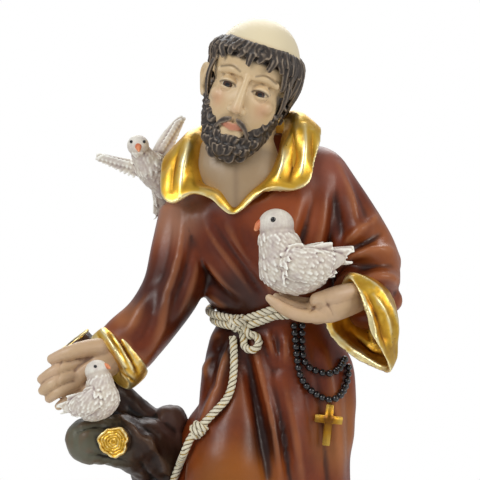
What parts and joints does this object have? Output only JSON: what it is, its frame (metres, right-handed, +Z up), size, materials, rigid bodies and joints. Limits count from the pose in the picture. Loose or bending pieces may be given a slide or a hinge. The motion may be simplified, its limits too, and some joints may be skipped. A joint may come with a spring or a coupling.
{
  "type": "saint francis statue",
  "caption": "Painted resin figure of a friar in a belted habit with doves, tree stump, knotted cord and small bead rosary, standing on a low rocky base.",
  "frame": {"origin": "on the flat underside of the ground, under the middle of the statue", "axes": "+Z up, -Y towards the viewer of the statue's front, +X to that viewer's right"},
  "size_m": [0.148, 0.1001, 0.3023],
  "materials": {
    "robe": "painted cast resin, semi-gloss",
    "dove": "painted cast resin, satin",
    "cord": "twisted yarn with metallic thread",
    "beads": "glossy black",
    "gilt": "gilded metal"
  },
  "bodies": {
    "root": {"figure": "robe", "dove_on_hand": "dove", "dove_on_stump": "dove", "dove_on_shoulder": "dove", "waist_cord": "cord", "cord_tail": "cord", "rosary": "beads", "cross": "gilt"}
  },
  "joints": []
}
